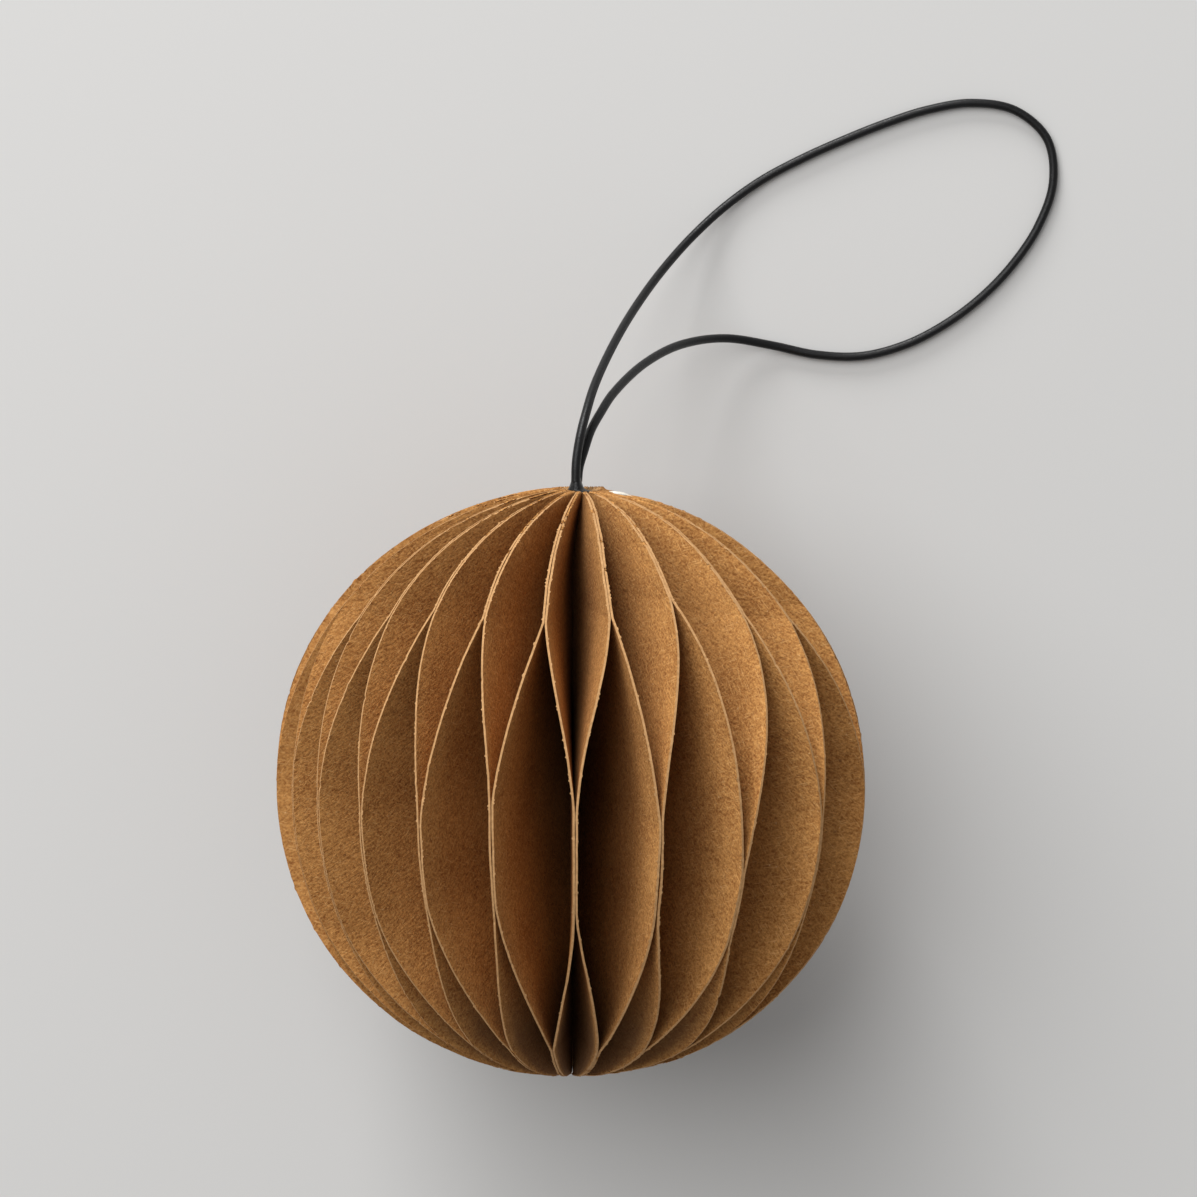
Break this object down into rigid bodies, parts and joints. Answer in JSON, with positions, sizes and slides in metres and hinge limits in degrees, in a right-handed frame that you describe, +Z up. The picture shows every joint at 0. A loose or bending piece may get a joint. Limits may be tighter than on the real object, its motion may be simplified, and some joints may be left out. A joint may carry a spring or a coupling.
{
  "type": "paper ball ornament",
  "caption": "Hanging ball of half-round kraft card leaves glued in alternating pairs round an open core, with a black cord loop.",
  "frame": {"origin": "on the table under the middle of the ball, which lies on its side on two ridges of leaves", "axes": "+Z up from the table, +Y along the ball's axis towards the pole that the cord leaves, +X to the side that the loop lies on"},
  "size_m": [0.1238, 0.1505, 0.0895],
  "materials": {
    "kraft_card": "matte fibrous brown kraft card with paler cut edges",
    "black_cord": "smooth waxed black cord",
    "white_glue": "dried white glue"
  },
  "bodies": {
    "root": {"leaf_01": "kraft_card", "leaf_02": "kraft_card", "leaf_03": "kraft_card", "leaf_04": "kraft_card", "leaf_05": "kraft_card", "leaf_06": "kraft_card", "leaf_07": "kraft_card", "leaf_08": "kraft_card", "leaf_09": "kraft_card", "leaf_10": "kraft_card", "leaf_11": "kraft_card", "leaf_12": "kraft_card", "leaf_13": "kraft_card", "leaf_14": "kraft_card", "leaf_15": "kraft_card", "leaf_16": "kraft_card", "leaf_17": "kraft_card", "leaf_18": "kraft_card", "leaf_19": "kraft_card", "leaf_20": "kraft_card", "leaf_21": "kraft_card", "leaf_22": "kraft_card", "leaf_23": "kraft_card", "leaf_24": "kraft_card", "leaf_25": "kraft_card", "leaf_26": "kraft_card", "leaf_27": "kraft_card", "leaf_28": "kraft_card", "leaf_29": "kraft_card", "leaf_30": "kraft_card", "leaf_31": "kraft_card", "leaf_32": "kraft_card", "leaf_33": "kraft_card", "leaf_34": "kraft_card", "leaf_35": "kraft_card", "leaf_36": "kraft_card", "leaf_37": "kraft_card", "leaf_38": "kraft_card", "leaf_39": "kraft_card", "leaf_40": "kraft_card", "leaf_41": "kraft_card", "leaf_42": "kraft_card", "leaf_43": "kraft_card", "leaf_44": "kraft_card", "leaf_45": "kraft_card", "leaf_46": "kraft_card", "leaf_47": "kraft_card", "leaf_48": "kraft_card", "leaf_49": "kraft_card", "leaf_50": "kraft_card", "seam_glue_bead": "white_glue", "cord_knot": "black_cord", "hanging_cord": "black_cord"}
  },
  "joints": []
}
